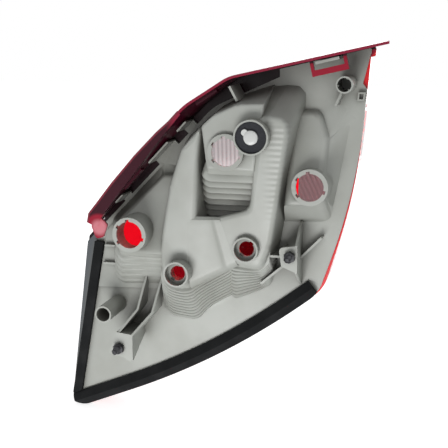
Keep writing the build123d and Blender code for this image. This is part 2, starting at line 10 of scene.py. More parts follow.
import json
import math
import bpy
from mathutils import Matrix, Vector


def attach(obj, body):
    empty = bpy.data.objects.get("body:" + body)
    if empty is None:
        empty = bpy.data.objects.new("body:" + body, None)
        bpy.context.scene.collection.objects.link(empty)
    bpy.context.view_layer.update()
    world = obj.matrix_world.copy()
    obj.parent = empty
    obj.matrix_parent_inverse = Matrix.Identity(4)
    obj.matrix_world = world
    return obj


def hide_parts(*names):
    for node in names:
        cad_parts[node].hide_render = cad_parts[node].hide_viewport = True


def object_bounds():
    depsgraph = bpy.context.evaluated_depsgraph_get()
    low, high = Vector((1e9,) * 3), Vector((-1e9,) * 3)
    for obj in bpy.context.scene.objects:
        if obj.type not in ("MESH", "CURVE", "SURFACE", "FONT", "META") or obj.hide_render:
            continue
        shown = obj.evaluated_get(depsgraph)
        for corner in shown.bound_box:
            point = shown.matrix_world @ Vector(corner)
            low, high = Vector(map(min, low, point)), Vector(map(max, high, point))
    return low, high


bl_info = {
    "name": "Tail light cluster",
    "version": (1, 0, 0),
    "blender": (4, 5, 0),
    "location": "View3D > Sidebar > Tail light",
    "description": "Dresses the tail light cluster with materials, ribs, a flare, threads and a stage",
    "category": "Object",
}

from typing import NamedTuple

import bmesh
import bpy
from mathutils import Matrix, Vector
from mathutils.geometry import interpolate_bezier

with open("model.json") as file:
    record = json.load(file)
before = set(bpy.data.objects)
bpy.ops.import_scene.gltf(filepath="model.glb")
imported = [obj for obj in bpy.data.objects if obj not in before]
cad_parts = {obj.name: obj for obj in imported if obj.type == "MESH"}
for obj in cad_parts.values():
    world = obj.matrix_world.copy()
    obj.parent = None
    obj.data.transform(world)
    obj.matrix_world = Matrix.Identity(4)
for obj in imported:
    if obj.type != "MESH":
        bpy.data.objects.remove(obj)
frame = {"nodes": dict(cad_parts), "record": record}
CAD_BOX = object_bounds()
MM = 0.001
MOUNTS = {mount["name"]: mount for mount in frame["record"]["mounts"]}

# Middle of the flange's back face, in millimetres from the origin
FLANGE_MIDDLE = (-72.9, 35.0, 22.0)

# Overlap of a small piece with what carries it, and the angle past which a new piece's edge is sharp
EMBED = 0.1 * MM
SHARP = math.radians(35)

# Welding and smoothing of the CAD nodes
WELD = 0.01 * MM
SMOOTH_UP_TO = math.radians(50)

# Scale of a wave texture whose bands lie one metre apart
WAVE_SCALE = math.pi / 10

# Noise that counts as plain and as mottled, the grain's detail, and its share of the height
MOTTLE_RANGE = (0.32, 0.68)
GRAIN_DETAIL = 2.0
GRAIN_SHARE = 0.6

# Plain sockets of the clear plastics
CLEAR = {"Transmission_Weight": 1.0, "IOR": 1.49}

# Housing: how far a face's normal points to the lens where the mirror coat starts and is whole
MIRROR_FACING = (0.02, 0.12)

# Housing: roughness of the mirror coat, and how far the grain shifts the plastic's roughness
MIRROR_ROUGHNESS = 0.12
ROUGHNESS_SHIFT = (-0.05, 0.07)

# Housing: open share of the view where the painted crevice shade and the plain plastic are whole; ambient
# occlusion paints the shade darker in corners and between ribs
PAINTED_SHADE_OPEN = (0.25, 0.95)
PAINTED_SHADE_SAMPLES = 8

# Housing: outer edge of the side gasket, as shares of x and z and their sum along it, and the fade of the
# painted reflection outside it, the grey-blue of the lens's outer wall painted on the housing's edge strip
SIDE_STRIP = (0.9853, -0.178, -0.2062)
REFLECTION_STRIP_FADE = 0.5 * MM

# Housing: where the soft ridges of the right trunk fade in, along each axis
RIDGE_FADES = [
    ("X", -0.028, -0.008), ("X", 0.006, 0.0), ("Y", 0.004, 0.0), ("Z", 0.026, 0.036), ("Z", 0.132, 0.122),
]

# Vent's post: its middle, and the reach and depth where its pale tone fades in
VENT_POST = (-0.0331, 0, 0.1156)
POST_REACH = (0.0104, 0.0100)
POST_DEPTH = (-0.0105, -0.0115)

# Vent's cap: half its section as reach and rise in millimetres, steps of its spin, and the post's height
VENT_CAP = [(6.5, -0.3), (6.5, 0.3), (5.9, 0.75), (3.4, 1.1), (0, 1.2)]
VENT_CAP_STEPS = 48
VENT_MOUTH = 56.0

# Lens: painted shade as deeper red rounds in front of the two lower sockets, where little light comes
# through them, as middle (x, z) and share of the deeper red
PAINTED_SHADE_ROUNDS = [((-0.137, -0.048), 1.0), ((-0.063, -0.018), 0.35)]

# Lens: reach from a round's middle and depth towards the front where its painted shade fades in
PAINTED_SHADE_REACH = (0.021, 0.016)
PAINTED_SHADE_FRONT = (0.060, 0.068)

# Lens: the skirt and the rim reach this far towards the front, and the skirt lies left of this x less z
SKIRT_DEPTH = 0.0405
SKIRT_SIDE = -0.1215

# Material slots: of the lens after its front, and of the flare after its skirt
SKIRT_SLOT = 1
RIM_SLOT = 2
BEAD_SLOT = 1

# Skirt: where its tones fade in along the depth, the first being painted shade at its root, and along x
# where the free edge's painted light fades in
SKIRT_SHADE_FADE = (0.034, 0.024)
SKIRT_OUTER = (0.022, 0.002)
SKIRT_EDGE_LIGHT_FADE = (0.0015, 0.0004)
SKIRT_EDGE_LIGHT_START = (-0.122, -0.112)

# Latch bar: slope of the skirt's top, place under it and place along x where the bar's tone fades in
LATCH_SLOPE = 0.2333
LATCH_UNDER = (-0.1785, -0.1770)
LATCH_START = (0.010, 0.012)

# End tab: its middle, and the reach where its border and its pale middle, a painted highlight, fade in
END_TAB = (-0.193, 0.0035, 0.019)
TAB_BORDER = (0.016, 0.012)
TAB_PAINTED_HIGHLIGHT = (0.011, 0.005)

# Turn of each window's flutes
FLUTE_TURNS = {"indicator": 0.0, "reverse": math.radians(25)}


class RibbedEnd(NamedTuple):
    """Sloping end of a bowl, in millimetres from the middle of the flange.

    It rises from a foot line (x, z) to a rim line (x, z, height), and both have the same corner rounds.
    Its ribs stand out by their depth from a skin that covers the slope. The ledge is the share of a rib's
    pitch in which it steps back.
    """

    foot: list
    rim: list
    rounds: list
    ribs: int
    depth: float
    cover: float
    ledge: float


RIBBED_ENDS = {
    "left_trunk_ribs": RibbedEnd(
        foot=[(-61, -50), (-63, -98), (-28, -101.5), (-15, -86), (10, -71), (20, -65)],
        rim=[
            (-55.5, -40, 30.2), (-55, -58, 28.8), (-31, -60, 28.6),
            (-19, -52, 27.2), (8, -36, 28), (18, -30, 28.4),
        ],
        rounds=[0, 14, 6, 8, 0, 0], ribs=10, depth=1.4, cover=1.0, ledge=0.14,
    ),
    "right_trunk_ribs": RibbedEnd(
        foot=[(56, -24), (48, -60), (10, -77), (5, -48)],
        rim=[(53.5, -18, 27.9), (45, -38, 25.7), (12, -32, 26.3), (8, -20, 27.6)],
        rounds=[0, 12, 6, 0], ribs=9, depth=1.4, cover=1.0, ledge=0.14,
    ),
    "cheek_ribs": RibbedEnd(
        foot=[(-117, -30), (-114, -68), (-58, -68)],
        rim=[(-104.5, -12, 26.1), (-100, -28, 31.5), (-55, -28, 31.5)],
        rounds=[0, 8, 0], ribs=5, depth=2.4, cover=1.2, ledge=0.16,
    ),
    "top_bowl_ribs": RibbedEnd(
        foot=[(-15.6, 30), (-16, 9), (38, 9), (38.5, 30)],
        rim=[(-7.8, 75, 40.4), (-6, 60, 39.6), (40, 60, 39.6), (42, 75, 40.4)],
        rounds=[0, 4, 0, 0], ribs=7, depth=3.6, cover=1.5, ledge=0.4,
    ),
}

# Shares of a sloping end's length: where its ribs end, and how far the skin runs out past both ends
RIB_TOP = 0.9
RIB_RUN_OUT = 0.03

# Slant of a skin's thickness, as a share of it
SKIN_SLANT = 0.6

# Points of a rounded corner, and how far its curve is pulled to the corner
CORNER_POINTS = 6
CORNER_PULL = 0.55

# Heights of the trunks' faces at the middle of the flange, in millimetres, and their rise along Z
LEFT_FACE = (38.4, 0.077)
RIGHT_FACE = (34.9, 0.11)

# Saddle between the trunks: corners (x, z) of its top and low ends in millimetres, left trunk first
SADDLE_TOP = [(-26, 14), (5, 13.5)]
SADDLE_LOW = [(-26, -62), (22, -35.5)]

# Saddle: share across it where its round ends, and length share and drop in millimetres of its rounded brow
SADDLE_CREASE = 0.78
SADDLE_BROW = (0.07, 3.0)

# Saddle: length share where it turns down to its foot, and the foot's height in millimetres
SADDLE_END = 0.86
SADDLE_FOOT = 23.5

# Saddle: depth of the wall at its top in millimetres, and that wall's lean
SADDLE_DROP = 9.0
SADDLE_LEAN = -0.1


class FlareStation(NamedTuple):
    """Places (x, z) across the skirt's flare, in millimetres: free edge, the solid's edge and root."""

    free: tuple
    solid: tuple
    root: tuple


FLARE_STATIONS = [
    FlareStation((-133.2, 2), (-124, -2), (-128.5, 1)),
    FlareStation((-131.5, 11), (-120.5, 6.5), (-125, 9.5)),
    FlareStation((-123.2, 21.2), (-114.6, 15.6), (-118.6, 17.1)),
    FlareStation((-106, 43), (-98.2, 36.8), (-100, 37)),
    FlareStation((-81.8, 70.6), (-75.4, 65.3), (-74.5, 63.4)),
    FlareStation((-58.6, 94.2), (-54.9, 91), (-51.5, 87.2)),
    FlareStation((-46.4, 104.9), (-44.4, 102.8), (-40.2, 99)),
    FlareStation((-36.9, 115), (-35.4, 113.4), (-31.5, 109.8)),
]

# Flare, in millimetres: heights of its edge and its root, and widths of its bead, a band painted with light,
# and of its brim
FLARE_HEIGHT = 35.15
FLARE_ROOT = -2.0
FLARE_BEAD = 2.4
FLARE_BRIM = 2.8

# Stud: collar's rounding, core's sides, and the tip's length and width as shares of thread and core radius
COLLAR_ROUND = 0.5 * MM
CORE_SIDES = 28
TIP_LENGTH = 0.25
TIP_WIDTH = 0.7

# Thread: its foot as a share of the core's radius, its crest as shares of the pitch, and steps in a turn
THREAD_FOOT = 0.96
THREAD_CREST = (0.42, 0.58)
THREAD_STEPS = 24


class StudioLight(NamedTuple):
    """Soft light: its place from the camera's aim, its width and height, and its power in watts."""

    place: tuple
    size: tuple
    power: float


STUDIO_LIGHTS = {
    "key_light": StudioLight(place=(-0.05, -0.8, -0.5), size=(0.5, 0.36), power=5.7),
    "fill_light": StudioLight(place=(0.9, -1.3, 1.0), size=(1.4, 1.4), power=3.6),
    "lens_light": StudioLight(place=(0.2, 1.6, 0.6), size=(1.4, 1.4), power=16),
}

# Floor: half its side, and its gap under the lamp
FLOOR_HALF = 6.0
FLOOR_GAP = 0.5 * MM

# Plain white of the floor's glow and of the world
WHITE = (1.0, 1.0, 1.0, 1.0)

# Width of the camera's sensor, in millimetres
SENSOR = 36.0

# Settings that the colour and length properties share
COLOUR = {"subtype": "COLOR", "size": 3, "min": 0, "max": 1}
LENGTH = {"subtype": "DISTANCE", "unit": "LENGTH"}


# Values that a user may change

class HousingFinish(bpy.types.PropertyGroup):
    """Colours and gloss of the moulded housing."""

    plastic: bpy.props.FloatVectorProperty(
        name="Plastic", description="Colour of the moulded grey plastic",
        default=(0.47, 0.485, 0.45), **COLOUR,
    )
    plastic_deep: bpy.props.FloatVectorProperty(
        name="Plastic, darker", description="Darker tone of the slow mottling",
        default=(0.41, 0.42, 0.385), **COLOUR,
    )
    mirror: bpy.props.FloatVectorProperty(
        name="Mirror coat", description="Colour of the metallised inside",
        default=(0.82, 0.82, 0.84), **COLOUR,
    )
    roughness: bpy.props.FloatProperty(
        name="Roughness", description="Roughness of the moulded plastic", min=0, max=1, default=0.36,
    )
    # Painted shade: the plastic is painted darker in corners and between ribs, where shade falls
    painted_crevice_shade: bpy.props.FloatVectorProperty(
        name="Crevices", description="Tone of the plastic deep in corners and between ribs",
        default=(0.19, 0.19, 0.17), **COLOUR,
    )
    # Painted reflection: the dark grey-blue that the lens's outer wall reflects, painted on the housing's
    # edge strip outside the side gasket
    strip: bpy.props.FloatVectorProperty(
        name="Side strip", description="Tone of the edge strip outside the side gasket",
        default=(0.085, 0.095, 0.105), **COLOUR,
    )
    vent_post: bpy.props.FloatVectorProperty(
        name="Vent post", description="Colour of the pale post in the vent and of its cap",
        default=(0.74, 0.75, 0.73), **COLOUR,
    )
    ridge_pitch: bpy.props.FloatProperty(
        name="Ridge pitch", description="Distance between the soft ridges on the right trunk",
        min=0.001, max=0.02, default=0.0055, **LENGTH,
    )
    # Reach of the painted crevice shade
    painted_shade_reach: bpy.props.FloatProperty(
        name="Crevice reach", description="How near another wall darkens the plastic",
        min=0.001, max=0.1, default=0.03, **LENGTH,
    )


class RibSizes(bpy.types.PropertyGroup):
    """Shape of the ribs on the sloping ends, and of the saddle."""

    edge: bpy.props.FloatProperty(
        name="Edge", description="Rounding of a rib's edge", min=0, max=0.002, default=0.0003, **LENGTH,
    )
    skin: bpy.props.FloatProperty(
        name="Skin", description="Thickness of the ribbed skins and of the saddle",
        min=0.0002, max=0.003, default=0.0008, **LENGTH,
    )
    saddle_cells: bpy.props.IntProperty(
        name="Saddle cells", description="Cells along each side of the saddle", min=4, max=64, default=24,
    )


class LensFinish(bpy.types.PropertyGroup):
    """Colours of the lens, its skirt and its windows."""

    red: bpy.props.FloatVectorProperty(
        name="Red", description="Colour of the clear red front", default=(0.64, 0.003, 0.010), **COLOUR,
    )
    # Painted shade: deeper red in front of the lower sockets, where little light comes through them
    red_painted_shade: bpy.props.FloatVectorProperty(
        name="Deep red", description="Colour of the rounds in front of the lower sockets",
        default=(0.15, 0.0015, 0.004), **COLOUR,
    )
    # Painted light: the rim's bright red stands for light that comes through its edge
    rim: bpy.props.FloatVectorProperty(
        name="Rim", description="Colour of the welded rim", default=(0.85, 0.008, 0.016), **COLOUR,
    )
    skirt: bpy.props.FloatVectorProperty(
        name="Skirt", description="Colour of the dark skirt", default=(0.055, 0.005, 0.014), **COLOUR,
    )
    # Painted shade: the skirt is painted near black where it meets the front, in the gap beside the housing
    skirt_painted_shade: bpy.props.FloatVectorProperty(
        name="Skirt, deep", description="Colour of the skirt where it meets the front",
        default=(0.012, 0.003, 0.005), **COLOUR,
    )
    skirt_outer: bpy.props.FloatVectorProperty(
        name="Skirt, outer", description="Colour of the skirt near its free edge",
        default=(0.045, 0.004, 0.012), **COLOUR,
    )
    # Painted light: the free edge is painted brighter where it catches light
    skirt_edge_painted_light: bpy.props.FloatVectorProperty(
        name="Skirt edge", description="Colour of the skirt's free edge",
        default=(0.30, 0.02, 0.05), **COLOUR,
    )
    # Painted light: the bead's crimson stands for the light that the flare's edge catches
    bead: bpy.props.FloatVectorProperty(
        name="Flare bead", description="Colour of the bead along the flare's edge",
        default=(0.24, 0.02, 0.04), **COLOUR,
    )
    latch: bpy.props.FloatVectorProperty(
        name="Latch bar", description="Colour of the thin latch bar and of the end tab's border",
        default=(0.36, 0.014, 0.036), **COLOUR,
    )
    # Painted highlight: the end tab's pale pink middle stands for the gloss it catches
    end_tab_painted_highlight: bpy.props.FloatVectorProperty(
        name="End tab", description="Colour of the thin tab at the end of the skirt",
        default=(0.72, 0.25, 0.29), **COLOUR,
    )
    indicator: bpy.props.FloatVectorProperty(
        name="Indicator window", description="Colour of the indicator's clear window",
        default=(0.45, 0.41, 0.415), **COLOUR,
    )
    reverse: bpy.props.FloatVectorProperty(
        name="Reverse window", description="Colour of the reversing light's window",
        default=(0.13, 0.078, 0.082), **COLOUR,
    )
    flare_round: bpy.props.FloatProperty(
        name="Flare round", description="Rounding of the skirt's flared edge",
        min=0, max=0.005, default=0.0014, **LENGTH,
    )
    optic_pitch: bpy.props.FloatProperty(
        name="Optic pitch", description="Size of the small pillows in the red front",
        min=0.001, max=0.03, default=0.007, **LENGTH,
    )
    flute_pitch: bpy.props.FloatProperty(
        name="Flute pitch", description="Distance between the flutes of the windows",
        min=0.001, max=0.02, default=0.0045, **LENGTH,
    )


class FoamFinish(bpy.types.PropertyGroup):
    """Colours of the foam gaskets and the vent disc."""

    gasket: bpy.props.FloatVectorProperty(
        name="Gasket", description="Colour of the foam gaskets", default=(0.007, 0.0075, 0.008), **COLOUR,
    )
    vent: bpy.props.FloatVectorProperty(
        name="Vent foam", description="Colour of the open foam of the vent disc",
        default=(0.03, 0.031, 0.035), **COLOUR,
    )


class StudSizes(bpy.types.PropertyGroup):
    """Sizes and colour of the threaded studs."""

    steel: bpy.props.FloatVectorProperty(
        name="Steel", description="Colour of the blackened steel", default=(0.03, 0.03, 0.032), **COLOUR,
    )
    pitch: bpy.props.FloatProperty(
        name="Pitch", description="Pitch of the thread", min=0.0004, max=0.003, default=0.001, **LENGTH,
    )
    thread_depth: bpy.props.FloatProperty(
        name="Thread depth", description="Depth of the thread",
        min=0.0001, max=0.002, default=0.0006, **LENGTH,
    )
    across_flats: bpy.props.FloatProperty(
        name="Across flats", description="Width of the hexagon collar",
        min=0.004, max=0.02, default=0.010, **LENGTH,
    )
    collar_height: bpy.props.FloatProperty(
        name="Collar height", description="Height of the hexagon collar",
        min=0.001, max=0.02, default=0.005, **LENGTH,
    )


class SleeveSizes(bpy.types.PropertyGroup):
    """Crush ribs in the upper sleeve."""

    count: bpy.props.IntProperty(name="Count", description="Number of crush ribs", min=0, max=12, default=3)
    height: bpy.props.FloatProperty(
        name="Height", description="How far a rib stands into the bore",
        min=0.0002, max=0.003, default=0.0011, **LENGTH,
    )
    width: bpy.props.FloatProperty(
        name="Width", description="Width of a rib", min=0.0003, max=0.005, default=0.0016, **LENGTH,
    )
    sunk: bpy.props.FloatProperty(
        name="Sunk", description="Depth of the ribs' outer ends under the sleeve's mouth",
        min=0, max=0.02, default=0.0015, **LENGTH,
    )
    length: bpy.props.FloatProperty(
        name="Length", description="Length of a rib", min=0.002, max=0.026, default=0.022, **LENGTH,
    )
    turn: bpy.props.FloatProperty(
        name="Turn", description="Place of the first rib round the bore",
        subtype="ANGLE", default=math.radians(70),
    )


class StageSettings(bpy.types.PropertyGroup):
    """Camera, floor and sky."""

    azimuth: bpy.props.FloatProperty(
        name="Azimuth", description="Camera's turn round the lamp",
        subtype="ANGLE", default=math.radians(15),
    )
    elevation: bpy.props.FloatProperty(
        name="Elevation", description="Camera's height over the lamp",
        subtype="ANGLE", default=math.radians(12),
    )
    distance: bpy.props.FloatProperty(
        name="Distance", description="Camera's distance from its aim",
        min=0.1, max=5, default=0.9, **LENGTH,
    )
    aim: bpy.props.FloatVectorProperty(
        name="Aim", description="Point that the camera looks at",
        subtype="TRANSLATION", size=3, unit="LENGTH", default=[part * MM for part in FLANGE_MIDDLE],
    )
    lens: bpy.props.FloatProperty(
        name="Lens", description="Focal length in millimetres", min=10, max=300, default=72.32,
    )
    floor: bpy.props.FloatVectorProperty(
        name="Floor", description="Colour of the floor", default=(0.86, 0.86, 0.86), **COLOUR,
    )
    floor_glow: bpy.props.FloatProperty(
        name="Floor glow", description="White that the floor adds for camera, mirror and glass rays",
        min=0, max=1, default=0.78,
    )
    sky: bpy.props.FloatVectorProperty(
        name="Sky", description="Colour of the soft light from all round",
        default=(0.97, 0.985, 1.0), **COLOUR,
    )
    sky_light: bpy.props.FloatProperty(
        name="Sky light", description="Strength of the soft light from all round",
        min=0, max=2, default=0.3,
    )


GROUPS = {
    "lamp_housing": HousingFinish,
    "lamp_ribs": RibSizes,
    "lamp_lens": LensFinish,
    "lamp_foam": FoamFinish,
    "lamp_studs": StudSizes,
    "lamp_sleeve": SleeveSizes,
    "lamp_stage": StageSettings,
}


# Shader nodes

def feed(tree, value, socket):
    """Links an input to a socket, or sets it to a plain number or colour."""
    if isinstance(value, bpy.types.NodeSocket):
        tree.links.new(value, socket)
    elif socket.type == "RGBA":
        socket.default_value = (*value, 1.0)
    else:
        socket.default_value = value


def noise(tree, vector, scale, detail=3.0):
    """Noise texture on a vector; the value socket."""
    node = tree.nodes.new("ShaderNodeTexNoise")
    node.inputs["Detail"].default_value = detail
    tree.links.new(vector, node.inputs["Vector"])
    feed(tree, scale, node.inputs["Scale"])
    return node.outputs["Fac"]


def bands(tree, vector, direction, pitch):
    """Even waves along a direction; the value socket."""
    wave = tree.nodes.new("ShaderNodeTexWave")
    wave.bands_direction = direction
    wave.inputs["Scale"].default_value = WAVE_SCALE / pitch
    tree.links.new(vector, wave.inputs["Vector"])
    return wave.outputs["Fac"]


def ramp(tree, value, low, high):
    """Value mapped smoothly from low..high to 0..1."""
    node = tree.nodes.new("ShaderNodeMapRange")
    node.interpolation_type = "SMOOTHSTEP"
    tree.links.new(value, node.inputs["Value"])
    node.inputs["From Min"].default_value = low
    node.inputs["From Max"].default_value = high
    return node.outputs["Result"]


def mix_colour(tree, share, first, second):
    """Colour between two, each a socket or a colour."""
    node = tree.nodes.new("ShaderNodeMix")
    node.data_type = "RGBA"
    tree.links.new(share, node.inputs["Factor"])
    ends = [socket for socket in node.inputs if socket.type == "RGBA"]
    for colour, socket in zip((first, second), ends):
        feed(tree, colour, socket)
    return next(socket for socket in node.outputs if socket.type == "RGBA")


def mix_value(tree, share, first, second):
    """Number between two, each a socket or a number."""
    node = tree.nodes.new("ShaderNodeMapRange")
    tree.links.new(share, node.inputs["Value"])
    feed(tree, first, node.inputs["To Min"])
    feed(tree, second, node.inputs["To Max"])
    return node.outputs["Result"]


def combine(tree, operation, first, second):
    """Math node on two values, each a socket or a number."""
    node = tree.nodes.new("ShaderNodeMath")
    node.operation = operation
    for value, socket in zip((first, second), node.inputs):
        feed(tree, value, socket)
    return node.outputs["Value"]


def product(tree, first, *others):
    """Values multiplied in turn."""
    for value in others:
        first = combine(tree, "MULTIPLY", first, value)
    return first


def axes(tree, vector):
    """Sockets X, Y and Z of a vector's parts."""
    node = tree.nodes.new("ShaderNodeSeparateXYZ")
    tree.links.new(vector, node.inputs["Vector"])
    return node.outputs


def on_plan(tree, x, z):
    """Vector of a place as it is seen along the lamp's depth."""
    node = tree.nodes.new("ShaderNodeCombineXYZ")
    tree.links.new(x, node.inputs["X"])
    tree.links.new(z, node.inputs["Z"])
    return node.outputs["Vector"]


def reach_from(tree, vector, middle):
    """Distance of a vector from a point."""
    node = tree.nodes.new("ShaderNodeVectorMath")
    node.operation = "DISTANCE"
    tree.links.new(vector, node.inputs[0])
    node.inputs[1].default_value = middle
    return node.outputs["Value"]


def toned(colour, share):
    """Colour made darker or lighter by a share."""
    return [share * channel for channel in colour]


def moulded_grain_group():
    """Slow mottling, fine grain and a height, shared by the materials of the lamp."""
    group = bpy.data.node_groups.new("Moulded grain", "ShaderNodeTree")
    inputs = [
        ("Vector", "NodeSocketVector"),
        ("Mottle scale", "NodeSocketFloat"),
        ("Grain scale", "NodeSocketFloat"),
    ]
    for name, kind in inputs:
        group.interface.new_socket(name, in_out="INPUT", socket_type=kind)
    for name in ("Mottle", "Grain", "Height"):
        group.interface.new_socket(name, in_out="OUTPUT", socket_type="NodeSocketFloat")
    given = group.nodes.new("NodeGroupInput").outputs
    made = group.nodes.new("NodeGroupOutput").inputs
    mottle = ramp(group, noise(group, given["Vector"], given["Mottle scale"]), *MOTTLE_RANGE)
    grain = noise(group, given["Vector"], given["Grain scale"], GRAIN_DETAIL)
    coarse = product(group, mottle, 1 - GRAIN_SHARE)
    height = combine(group, "ADD", product(group, grain, GRAIN_SHARE), coarse)
    for name, socket in (("Mottle", mottle), ("Grain", grain), ("Height", height)):
        group.links.new(socket, made[name])
    return group


def grained(tree, place, mottle, grain):
    """The shared grain at a material's own scales; its sockets Mottle, Grain and Height."""
    node = tree.nodes.new("ShaderNodeGroup")
    node.node_tree = bpy.data.node_groups.get("Moulded grain") or moulded_grain_group()
    tree.links.new(place, node.inputs["Vector"])
    node.inputs["Mottle scale"].default_value = mottle
    node.inputs["Grain scale"].default_value = grain
    return node.outputs


def new_material(name, **settings):
    """Material with a Principled BSDF whose plain sockets are set; its tree, shader and coordinates."""
    material = bpy.data.materials.new(name)
    material.use_nodes = True
    tree = material.node_tree
    shader = tree.nodes["Principled BSDF"]
    for socket, value in settings.items():
        shader.inputs[socket.replace("_", " ")].default_value = value
    coordinates = tree.nodes.new("ShaderNodeTexCoord")
    return material, tree, shader, coordinates.outputs["Object"]


def two_tones(tree, shader, share, first, second):
    """Base colour between two tones."""
    tree.links.new(mix_colour(tree, share, first, second), shader.inputs["Base Color"])


def uneven_gloss(tree, shader, share, low, high):
    """Roughness between two values."""
    tree.links.new(mix_value(tree, share, low, high), shader.inputs["Roughness"])


def add_bump(tree, shader, height, strength, distance, normal=None):
    """Bump from a height into the shader's normal; the bumped normal."""
    bump = tree.nodes.new("ShaderNodeBump")
    bump.inputs["Strength"].default_value = strength
    bump.inputs["Distance"].default_value = distance
    tree.links.new(height, bump.inputs["Height"])
    if normal is not None:
        tree.links.new(normal, bump.inputs["Normal"])
    tree.links.new(bump.outputs["Normal"], shader.inputs["Normal"])
    return bump.outputs["Normal"]


# Materials of the lamp

def housing_plastic(finish):
    """Grey moulded plastic on the vehicle side, mirror coat on the lens side, with painted shade in corners
    and between ribs and a painted reflection on the edge strip outside the side gasket.
    """
    material, tree, shader, place = new_material("housing_plastic", Specular_IOR_Level=0.45)
    texture = grained(tree, place, mottle=22.0, grain=1100.0)
    parts = axes(tree, place)
    x, y, z = parts
    colour = mix_colour(tree, texture["Mottle"], finish.plastic_deep, finish.plastic)

    # Painted reflection of the lens's outer wall on the edge strip outside the side gasket
    share_x, share_z, edge = SIDE_STRIP
    across = combine(tree, "ADD", product(tree, x, share_x), product(tree, z, share_z))
    colour = mix_colour(tree, ramp(tree, across, edge + REFLECTION_STRIP_FADE, edge), colour, finish.strip)

    # Painted shade: ambient occlusion paints the plastic darker in corners and between ribs
    painted_crevice_shade = tree.nodes.new("ShaderNodeAmbientOcclusion")
    painted_crevice_shade.samples = PAINTED_SHADE_SAMPLES
    painted_crevice_shade.inputs["Distance"].default_value = finish.painted_shade_reach
    colour = mix_colour(tree, ramp(tree, painted_crevice_shade.outputs["AO"], *PAINTED_SHADE_OPEN), finish.painted_crevice_shade, colour)

    from_post = reach_from(tree, on_plan(tree, x, z), VENT_POST)
    post = product(tree, ramp(tree, from_post, *POST_REACH), ramp(tree, y, *POST_DEPTH))
    colour = mix_colour(tree, post, colour, finish.vent_post)

    geometry = tree.nodes.new("ShaderNodeNewGeometry")
    mirror = ramp(tree, axes(tree, geometry.outputs["True Normal"])["Y"], *MIRROR_FACING)
    two_tones(tree, shader, mirror, colour, finish.mirror)
    tree.links.new(mirror, shader.inputs["Metallic"])
    smoother, rougher = [finish.roughness + shift for shift in ROUGHNESS_SHIFT]
    moulded = mix_value(tree, texture["Grain"], smoother, rougher)
    uneven_gloss(tree, shader, mirror, low=moulded, high=MIRROR_ROUGHNESS)

    grain_normal = add_bump(tree, shader, texture["Height"], strength=0.12, distance=0.4 * MM)
    fades = [ramp(tree, parts[axis], low, high) for axis, low, high in RIDGE_FADES]
    ridges = product(tree, *fades, bands(tree, place, "Z", finish.ridge_pitch))
    add_bump(tree, shader, ridges, strength=0.28, distance=0.8 * MM, normal=grain_normal)
    return material


def lens_red(finish):
    """Clear red plastic of the lens's front, with painted shade deepening its red in front of the lower
    sockets.
    """
    material, tree, shader, place = new_material(
        "lens_red", Roughness=0.06, Specular_IOR_Level=0.25, **CLEAR,
    )
    texture = grained(tree, place, mottle=30.0, grain=900.0)
    x, y, z = axes(tree, place)
    plan = on_plan(tree, x, z)
    colour = mix_colour(tree, texture["Mottle"], toned(finish.red, share=0.93), finish.red)
    # Painted shade: the red deepens in rounds in front of the lower sockets
    for (middle_x, middle_z), share in PAINTED_SHADE_ROUNDS:
        near = ramp(tree, reach_from(tree, plan, (middle_x, 0, middle_z)), *PAINTED_SHADE_REACH)
        deep = product(tree, near, ramp(tree, y, *PAINTED_SHADE_FRONT))
        colour = mix_colour(tree, deep, colour, toned(finish.red_painted_shade, share))
    tree.links.new(colour, shader.inputs["Base Color"])
    upright, level = [bands(tree, place, direction, finish.optic_pitch) for direction in "XZ"]
    pillows = combine(tree, "ADD", upright, level)
    add_bump(tree, shader, pillows, strength=0.25, distance=0.6 * MM)
    return material


def lens_skirt(finish):
    """Dark red plastic of the skirt, with painted shade near black inside, a free edge painted brighter with
    light, a latch bar and an end tab with a painted highlight.
    """
    material, tree, shader, place = new_material("lens_skirt", Specular_IOR_Level=0.2)
    texture = grained(tree, place, mottle=30.0, grain=900.0)
    x, y, z = axes(tree, place)
    # Painted shade near the skirt's root
    colour = mix_colour(tree, ramp(tree, y, *SKIRT_SHADE_FADE), finish.skirt_painted_shade, finish.skirt)
    colour = mix_colour(tree, ramp(tree, y, *SKIRT_OUTER), colour, finish.skirt_outer)
    # Painted light along the free edge, on its right part
    edge = product(tree, ramp(tree, y, *SKIRT_EDGE_LIGHT_FADE), ramp(tree, x, *SKIRT_EDGE_LIGHT_START))
    colour = mix_colour(tree, edge, colour, finish.skirt_edge_painted_light)
    under_top = combine(tree, "SUBTRACT", product(tree, x, LATCH_SLOPE), z)
    latch = product(tree, ramp(tree, under_top, *LATCH_UNDER), ramp(tree, x, *LATCH_START))
    colour = mix_colour(tree, latch, colour, finish.latch)
    from_tab = reach_from(tree, place, END_TAB)
    colour = mix_colour(tree, ramp(tree, from_tab, *TAB_BORDER), colour, finish.latch)
    # Painted highlight on the end tab's middle
    colour = mix_colour(tree, ramp(tree, from_tab, *TAB_PAINTED_HIGHLIGHT), colour, finish.end_tab_painted_highlight)
    tree.links.new(colour, shader.inputs["Base Color"])
    uneven_gloss(tree, shader, texture["Mottle"], low=0.22, high=0.34)
    return material


def glossy_plastic(name, colour):
    """Solid glossy plastic of a small form: the welded rim or the flare's bead, whose bright colours are
    painted light, or the vent's cap.
    """
    material, tree, shader, place = new_material(name, Specular_IOR_Level=0.4)
    texture = grained(tree, place, mottle=30.0, grain=900.0)
    two_tones(tree, shader, texture["Mottle"], toned(colour, share=0.9), colour)
    uneven_gloss(tree, shader, texture["Grain"], low=0.2, high=0.3)
    return material


